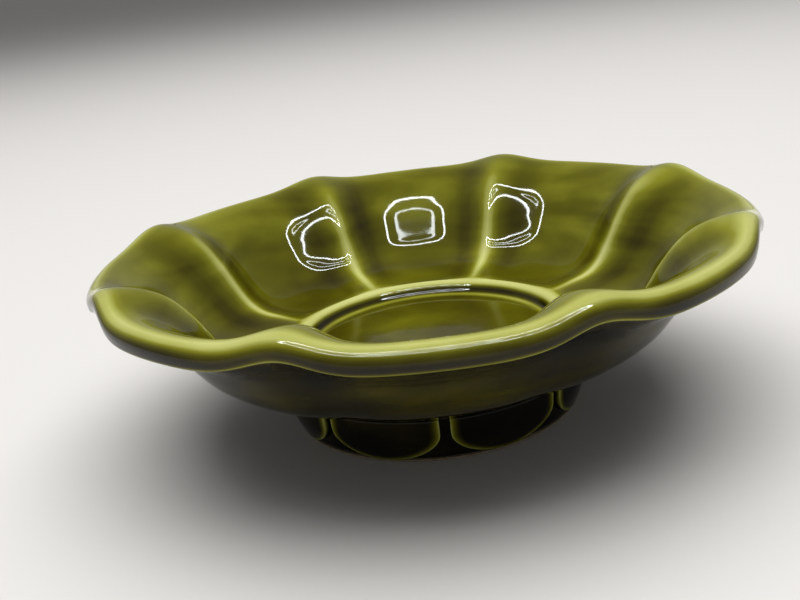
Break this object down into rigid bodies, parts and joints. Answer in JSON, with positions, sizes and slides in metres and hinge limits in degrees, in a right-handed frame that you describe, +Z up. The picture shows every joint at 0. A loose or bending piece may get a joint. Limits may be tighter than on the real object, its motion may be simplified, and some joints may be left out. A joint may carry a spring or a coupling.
{
  "type": "scalloped footed flower bowl",
  "caption": "Glazed earthenware flower bowl with scalloped lobes, inside ribs, a rolled lip, a round well for a frog or candle, and a low foot with raised petals.",
  "frame": {"origin": "centre of the foot on the resting plane", "axes": "+Z up along the bowl's axis; +X out through the middle of a lobe"},
  "size_m": [0.217, 0.217, 0.0639],
  "materials": {
    "olive_glaze": "glossy",
    "bare_clay": "matte"
  },
  "bodies": {
    "root": {"bowl_wall": "olive_glaze", "rolled_lip": "olive_glaze", "well_ring": "olive_glaze", "well_floor": "olive_glaze", "foot_ring": "olive_glaze", "foot_petals": "olive_glaze", "foot_rim": "bare_clay"}
  },
  "joints": []
}
